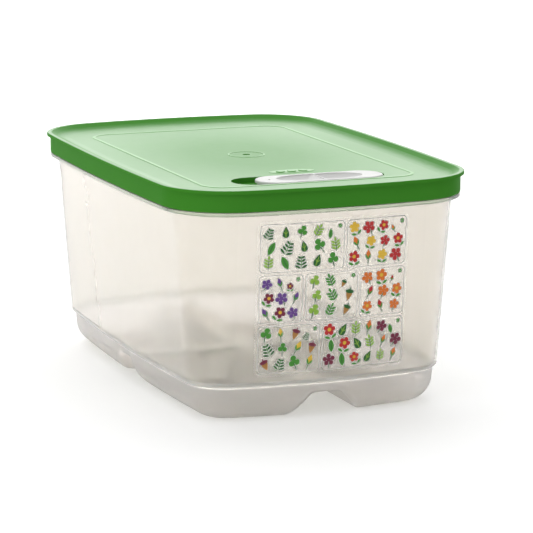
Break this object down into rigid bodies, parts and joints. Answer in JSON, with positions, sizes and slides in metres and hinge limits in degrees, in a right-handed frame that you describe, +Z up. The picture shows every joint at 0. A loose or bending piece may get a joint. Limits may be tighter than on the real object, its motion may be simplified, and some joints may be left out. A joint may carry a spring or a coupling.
{
  "type": "produce keeper",
  "caption": "Translucent rectangular produce keeper with raised feet, a green press-on lid and a sliding vent in the lid.",
  "frame": {"origin": "centre of the footprint, on the plane that the feet stand on", "axes": "+Y along the long sides away from the labelled front, +X to the right along the front, +Z up"},
  "size_m": [0.194, 0.2964, 0.1392],
  "materials": {
    "tub_plastic": "translucent milky, satin",
    "lid_plastic": "fine satin",
    "slider_plastic": "semi-gloss",
    "label_film": "clear printed film"
  },
  "bodies": {
    "tub_body": {"base": "tub_plastic", "label_film": "label_film"},
    "lid_body": {"lid": "lid_plastic"},
    "slide_body": {"vent_slider": "slider_plastic"}
  },
  "joints": [
    {"name": "lid_lift", "type": "slide", "parent": "tub_body", "child": "lid_body", "axis": [0, 0, 1], "range_m": [0, 0.15]},
    {"name": "vent_slide", "type": "slide", "parent": "lid_body", "child": "slide_body", "axis": [1, 0, 0], "range_m": [-0.0144, 0]}
  ]
}
